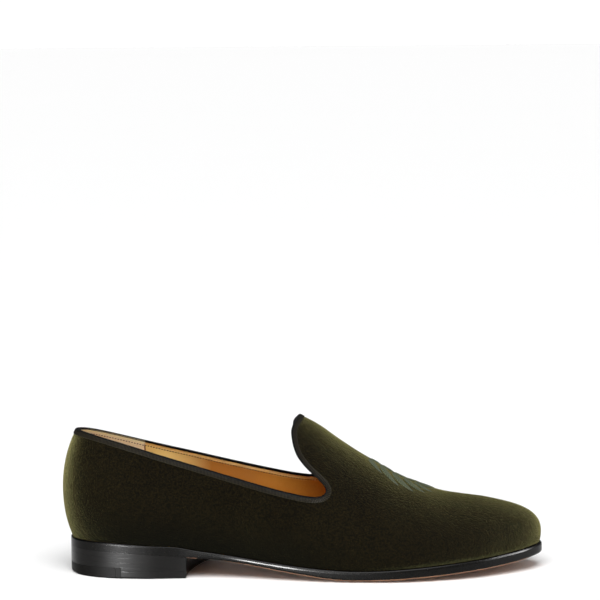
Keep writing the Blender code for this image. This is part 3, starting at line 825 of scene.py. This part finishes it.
# The sock wears the lining's finish, with its painted light and shade along the shoe.
sock = finished("insole_sock", layered(120, 16, layers), "sock_leather", LINING)
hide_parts("insole")

# %% [markdown]
# ## The sole
#
# The sole is leather, cut to the last's outline. Its side is trimmed to a soft belly, inked black and
# burnished with wax, so it shines in a long line. Below the side the knife leaves a bevel, and there
# the natural colour of the leather shows. Layers from the bottom up give that profile.

# %% Sole finishes
EDGE, tree, shader = finish("burnished_edge", srgb(8, 7, 6), 0.26, Specular_IOR_Level=0.1)
place = place_node(tree)
rub = summed(tree, (spots(tree, place, 3.0, detail=3), 0.6), (spots(tree, place, 0.6, detail=2), 0.4))
tree.links.new(between(tree, rub, 0.35, 0.7, srgb(5, 5, 4), srgb(16, 14, 12)), shader.inputs["Base Color"])
bumped(tree, shader, rub, 0.06, 0.6)
NATURAL = leather(
    "natural_sole_leather", srgb(140, 98, 70), srgb(170, 126, 94), 0.5, pore_mm=0.7, depth=0.06,
)


# %% The outsole
BREAST, HEEL_BLEND = (75.0, 86.0), (68, 90)
SOLE["bevel"] = (SOLE["bottom"] + SOLE["edge"]) / 2
SOLE_PROFILE = (
    # outset, height and lift of each layer in front of the breast, and then over the heel
    ((-3.6, "bottom", 0.0), (-3.6, "bottom", 0.0)), ((-1.3, "bevel", 0.0), (-1.3, "bottom", 0.0)),
    ((0.95, "edge", -0.05), (0.95, "bottom", 0.0)), ((1.2, "edge", 0.3), (1.0, "bottom", 0.06)),
    ((1.42, "edge", 1.0), (1.0, "edge", 1.0)), ((1.46, "seat", -2.0), (1.0, "seat", -1.4)),
    ((1.38, "seat", -1.35), (0.97, "seat", -0.8)), ((1.20, "seat", -0.8), (0.84, "seat", -0.4)),
    ((0.86, "seat", -0.34), (0.6, "seat", -0.14)), ((0.3, "seat", 0.0), (0.2, "seat", 0.0)),
)


def sole_layer(front, heel):
    """A layer of the sole, which is flush with the stack over the heel and stands proud in front."""
    def height(x, v):
        share = eased(x, *HEEL_BLEND)
        rows = ((share, front), (1 - share, heel))
        return sum(part * (sole_height(column, x) + lift) for part, (outset, column, lift) in rows)

    def layer(u, v):
        x = SOLE_MARGIN + (LENGTH - 2 * SOLE_MARGIN) * (1 - np.cos(math.pi * u)) / 2
        share = eased(x, *HEEL_BLEND)
        return across_the_sole(share * front[0] + (1 - share) * heel[0], height)(u, v)
    return layer


bm = layered(200, 14, [sole_layer(front, heel) for front, heel in SOLE_PROFILE])
for face in bm.faces:
    centre = np.array(face.calc_center_median()) / MM - SHIFT
    corner = float(sole_height("edge", np.array([centre[0]]))[0])
    below = centre[2] < corner - 0.1 and face.normal.z < 0.2
    face.material_index = 1 if below and centre[0] > BREAST[0] else 0
outsole = finished("leather_outsole", bm, "sole_leather", EDGE, NATURAL, sharp=50)
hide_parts("outsole")

# %% [markdown]
# ## The heel
#
# The heel is a stack of leather lifts, nailed and glued, trimmed together and inked black. Thin lines
# between the lifts survive the wax. Its top piece, the layer that meets the ground, has a rubber
# quarter at the back where a heel wears. The front face bows backwards, as a knife leaves it.

# %% Heel finishes and layers
BREAST_BOW, HEEL_MARGIN = 3.2, 1.0
TOP_PIECE, TOP_LAYER, RUBBER_END, KEY_END, PART_LINE = 6.8, 4.5, 31.1, 34.5, 0.08
HEEL_EDGE, tree, shader = finish("burnished_heel", srgb(8, 7, 5), 0.25, Specular_IOR_Level=0.15)
place = place_node(tree)
streaks = summed(
    tree, (spots(tree, place, 1.0, detail=3, stretch=(0.05, 0.05, 1.6)), 0.65),
    (spots(tree, place, 2.0, detail=3), 0.35),
)
tree.links.new(between(tree, streaks, 0.35, 0.7, srgb(5, 4, 3), srgb(15, 13, 11)), shader.inputs["Base Color"])
bumped(tree, shader, streaks, 0.05, 0.5)
RUBBER, tree, shader = finish("black_rubber", srgb(12, 11, 9), 0.45, Specular_IOR_Level=0.05)
speck = spots(tree, place_node(tree), 0.7, detail=3)
tree.links.new(between(tree, speck, 0.35, 0.7, srgb(7, 6, 5), srgb(15, 14, 12)), shader.inputs["Base Color"])
bumped(tree, shader, speck, 0.05, 0.5)


def station_angle(x):
    share = (x - SOLE_MARGIN) / (LENGTH - 2 * SOLE_MARGIN)
    return math.acos(1 - 2 * min(max(share, 0.0), 1.0))


def across_the_heel(start, end, inset, height, bow):
    """A layer between two lines across the heel, each given by its outer and inner x. inset follows x."""
    def layer(u, v):
        sides = []
        for side, sign in enumerate((1, -1)):
            first, last = station_angle(start[side]), station_angle(end[side])
            angle = sign * (first + (last - first) * u)
            sides.append(outline(angle, HEEL_MARGIN - inset(outline(angle)[:, 0])))
        flat = sides[0] * (1 - v)[:, None] + sides[1] * v[:, None]
        flat[:, 0] -= bow * u * 4 * v * (1 - v)
        return np.column_stack([flat, height(flat[:, 0])])
    return layer


def rounded_plate(name, start, end, low, high, under, over, slot, look, bow=0.0, nose=0.0, along=60):
    """A plate with rounded rims: under and over are their radii, as functions of x, and nose the front's."""
    shares = ((0.0, 1.0), (0.1, 0.5), (0.3, 0.2), (0.6, 0.05), (1.0, 0.0))
    layers = []
    for lift, inset in shares:
        front = [x - nose * inset for x in end]
        layers.append(across_the_heel(
            start, front, lambda x, k=inset: k * under(x), lambda x, k=lift: low(x) + k * under(x), bow,
        ))
    for lift, inset in reversed(shares):
        layers.append(across_the_heel(
            start, end, lambda x, k=inset: k * over(x), lambda x, k=lift: high(x) - k * over(x), bow,
        ))
    return finished(name, layered(along, 10, layers), slot, look, sharp=35)


def steady(size):
    return lambda x: np.full_like(x, size)


def worn_back(x):
    """The bottom rim is rounder at the very back, where the heel strikes."""
    return 0.8 + 1.5 * np.exp(-(x / 9) ** 2)


def stack_level(share, lift):
    def height(x):
        return TOP_PIECE + (sole_height("bottom", x) - 0.02 - TOP_PIECE) * share + lift
    return height


# %% The lifts and the top piece
BACK, CRISP = (SOLE_MARGIN, SOLE_MARGIN), steady(0.05)
for number, name in enumerate(("heel_lift_lower", "heel_lift_middle", "heel_lift_upper")):
    lift = rounded_plate(
        name + "_skin", BACK, BREAST, stack_level(number / 3, 0), stack_level((number + 1) / 3, -0.015),
        CRISP, CRISP, "heel_leather", HEEL_EDGE, BREAST_BOW,
    )
    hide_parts(name)
rubber = rounded_plate(
    "top_piece_rubber_skin", BACK, (RUBBER_END - PART_LINE,) * 2, steady(0.0), steady(TOP_PIECE - 0.03),
    worn_back, CRISP, "rubber", RUBBER, along=40,
)
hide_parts("top_piece_rubber")
rounded_plate(
    "top_piece_key", (RUBBER_END + PART_LINE,) * 2, (KEY_END - PART_LINE,) * 2, steady(0.0), steady(TOP_PIECE - 0.03),
    steady(0.8), CRISP, "rubber", RUBBER, along=4,
)
front = rounded_plate(
    "top_piece_leather_skin", (KEY_END + PART_LINE,) * 2, BREAST, steady(0.0), steady(TOP_LAYER),
    steady(1.2), steady(0.14), "heel_leather", HEEL_EDGE, BREAST_BOW, nose=1.8, along=30,
)
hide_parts("top_piece_leather")
base = rounded_plate(
    "top_piece_base_skin", (KEY_END + PART_LINE,) * 2, BREAST, steady(TOP_LAYER + PART_LINE), steady(TOP_PIECE - 0.03),
    steady(0.14), CRISP, "heel_leather", HEEL_EDGE, BREAST_BOW, along=30,
)
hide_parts("top_piece_base")

# %% [markdown]
# ## A sprig on the vamp
#
# The vamp carries a small piece of raised embroidery in thread a little paler than the velvet: here a
# plain leafy sprig. An embroiderer pads each leaf and covers it with satin stitch. Each leaf is a
# small layered sheet: its base lies just inside the velvet, and its top is domed, with a vein pressed
# into it. Rays from a line under the ridge carry the flat drawing onto the last.

# %% Carry a drawing onto the vamp
CORE_DEPTH = 25.0


def on_the_vamp(along, across, lift):
    """Points lift above the velvet, from millimetres along the ridge and round the foot from it."""
    side = BALL_WIDTH * smooth(LAST["ridge_along"], LAST["ridge_off"], along / LENGTH)
    depth = ridge_height(along) - CORE_DEPTH
    found = []
    for x, y, z, turn, rise in zip(along, side, depth, across / CORE_DEPTH, lift):
        way = Vector((0, math.sin(turn), math.cos(turn)))
        start = Vector(((x + SHIFT[0]) * MM, (y + SHIFT[1]) * MM, z * MM))
        hit, normal = tree_of_last.ray_cast(start, way)[:2]
        normal = normal if normal.dot(way) > 0 else -normal
        found.append(np.array(hit) / MM - SHIFT + rise * np.array(normal))
    return np.array(found)


def leaf_layers(root, heading, length, width, bend, height):
    """The base and the domed top of a leaf that starts at root and leans away from the stem."""
    def layer(lift):
        def place_leaf(u, v):
            turn = heading + bend * (u - 0.5)
            across = width * (v - 0.5) * (0.12 + np.sin(math.pi * u ** 0.85) ** 0.8)
            along = length * u
            x = root[0] + along * np.cos(turn) - across * np.sin(turn)
            y = root[1] + along * np.sin(turn) + across * np.cos(turn)
            return on_the_vamp(x, y, lift(u, 2 * v - 1))
        return place_leaf

    def domed(u, w):
        vein = 0.22 * np.exp(-(w / 0.16) ** 2)
        return 0.12 + height * np.sqrt(1 - 0.9 * w ** 2) * np.sin(math.pi * (0.08 + 0.84 * u)) - vein

    return layer(lambda u, w: -0.25 + 0 * u), layer(domed)


print("ridge point at 210 mm:", on_the_vamp(*np.array([[210.0], [0.0], [0.0]])).round(1).tolist())

# %% Embroider the sprig
SPRIG, tree, shader = finish(
    "satin_stitch", srgb(70, 76, 52), 0.55, Specular_IOR_Level=0.15, Sheen_Weight=0.2, Sheen_Roughness=0.4,
    Sheen_Tint=srgb(150, 160, 120),
)
THREAD_TURNS, THREAD_SLANT = 90.0, -22.0
from_vein = arithmetic(tree, "ABSOLUTE", arithmetic(tree, "SUBTRACT", share_node(tree, "v"), 0.5))
slanted = summed(tree, (share_node(tree, "u"), THREAD_TURNS), (from_vein, THREAD_SLANT))
threads = arithmetic(tree, "SINE", slanted)
# Painted shade and light on the satin stitch: nearly black between the threads, pale on each thread.
tree.links.new(between(tree, threads, -1.0, 0.8, srgb(20, 23, 13), srgb(92, 100, 70)), shader.inputs["Base Color"])
bumped(tree, shader, threads, 0.12, 1.0)

LEAVES = (
    # where the leaf leaves the stem, degrees from it, length, width
    (190.0, 80, 14.0, 3.8), (197.0, 76, 18.5, 4.4), (204.5, 72, 19.5, 4.6), (211.5, 66, 17.0, 4.4),
    (217.5, 56, 13.0, 3.8),
)
whole = bmesh.new()
stem = leaf_layers((185.0, 0.0), 0.0, 36.0, 1.8, 0.0, 0.25)
pieces = [layered(40, 4, stem), layered(12, 6, leaf_layers((220.0, 0.0), 0.0, 9.0, 3.6, 0.0, 0.35))]
for start, lean, length, width in LEAVES:
    for side in (-1, 1):
        root = (start + (1.5 if side > 0 else 0.0), 0.6 * side)
        heading = side * math.radians(lean)
        pieces.append(layered(16, 6, leaf_layers(root, heading, length, width, -side * 0.6, 0.4)))
for piece in pieces:
    mesh = as_mesh("leaf", piece)
    whole.from_mesh(mesh)
    bpy.data.meshes.remove(mesh)
finished("embroidered_sprig", whole, "velvet", SPRIG, sharp=70)

# %% [markdown]
# ## Camera, floor and light
#
# The camera stands as the photographer's did: almost square to the outer side, 11 degrees above the
# floor, far away with a long lens. The floor is plain and pale. One large soft light hangs above and
# on the camera's side, and three standing softboxes draw the bright lines along the waxed edges. The
# sky is bright only low behind the shoe, as a lit backdrop is.

# %% The camera
AZIMUTH, ELEVATION, ROLL = (math.radians(angle) for angle in (2.0, 10.8, -0.5))
DISTANCE, MM_PER_PIXEL, PIXELS = 1600.0, 0.628, 600
AIM, AIM_BELOW_MIDDLE = np.array((144.96, 0.0, 45.0)), 198.8
level_forward = np.array((
    -math.sin(AZIMUTH) * math.cos(ELEVATION), math.cos(AZIMUTH) * math.cos(ELEVATION), -math.sin(ELEVATION),
))
flat_right = np.array((math.cos(AZIMUTH), math.sin(AZIMUTH), 0.0))
flat_up = np.cross(flat_right, level_forward)
right = math.cos(ROLL) * flat_right + math.sin(ROLL) * flat_up
up = math.cos(ROLL) * flat_up - math.sin(ROLL) * flat_right
focal = DISTANCE / MM_PER_PIXEL
tilt = math.atan(AIM_BELOW_MIDDLE / focal)
focal *= math.cos(tilt)
forward = math.cos(tilt) * level_forward + math.sin(tilt) * up
up = math.cos(tilt) * up - math.sin(tilt) * level_forward
eye = (AIM + SHIFT - level_forward * DISTANCE) * MM
lens = bpy.data.cameras.new("camera")
lens.sensor_width = 36.0
lens.lens = focal / PIXELS * 36.0
lens.clip_end = 200.0
camera = linked("camera", lens)
camera.matrix_world = Matrix([[right[i], up[i], -forward[i], eye[i]] for i in range(3)] + [[0, 0, 0, 1]])
bpy.context.scene.camera = camera
print("lens", round(lens.lens, 1), "mm, eye", [round(x, 3) for x in eye])

# %% The floor and the light
bm = bmesh.new()
bmesh.ops.create_grid(bm, x_segments=1, y_segments=1, size=30.0)
floor = linked("floor", as_mesh("floor", bm))
FLOOR, tree, shader = finish("pale_floor", (0.9, 0.9, 0.9, 1), 0.8)
floor.data.materials.append(FLOOR)


def reflected_strip(name, target, azimuth, elevation, size, power, distance=1.5):
    """A softbox that only shines on gloss. It stands where a highlight at the target needs it, in degrees."""
    lamp = bpy.data.lights.new(name, "AREA")
    lamp.shape, lamp.size, lamp.size_y, lamp.energy = "RECTANGLE", *size, power
    around, above = math.radians(azimuth), math.radians(elevation)
    way = Vector((math.cos(above) * math.sin(around), -math.cos(above) * math.cos(around), math.sin(above)))
    lamp_object = linked(name, lamp)
    spot = Vector((np.array(target) + SHIFT) * MM) + way * distance
    lamp_object.matrix_world = Matrix.Translation(spot) @ way.to_track_quat("Z", "Y").to_matrix().to_4x4()
    lamp_object.visible_camera = lamp_object.visible_diffuse = False


SUN_WAY, SUN_STRENGTH, SUN_WIDTH = (0.02, 0.50, -0.86), 4.0, 50
sun = bpy.data.lights.new("key", "SUN")
sun.energy, sun.angle = SUN_STRENGTH, math.radians(SUN_WIDTH)
linked("key", sun).matrix_world = Vector(SUN_WAY).to_track_quat("-Z", "Y").to_matrix().to_4x4()
reflected_strip("heel_strip", (34, -28, 10), -25, 4, (0.14, 0.24), 95)
reflected_strip("ball_strip", (164, -41, 8), -16, 26, (0.20, 0.80), 9)
reflected_strip("toe_strip", (274, -25, 14), 82, 28, (0.50, 0.90), 110)

world = bpy.data.worlds.new("studio")
world.use_nodes = True
sky = world.node_tree
sky_place = sky.nodes.new("ShaderNodeTexCoord").outputs["Generated"]
haze = ranged(sky, part_of(sky, sky_place, "Z"), 0.02, 0.06, 1.1, 0.2)
behind = ranged(sky, part_of(sky, sky_place, "Y"), 0.5, 0.9, 0.3, 1.0)
sky.links.new(arithmetic(sky, "MULTIPLY", haze, behind), sky.nodes["Background"].inputs["Strength"])
sky.nodes["Background"].inputs["Color"].default_value = (1, 1, 1, 1)
bpy.context.scene.world = world
bpy.context.scene.view_settings.view_transform = "Standard"
bpy.data.objects.remove(cutter)
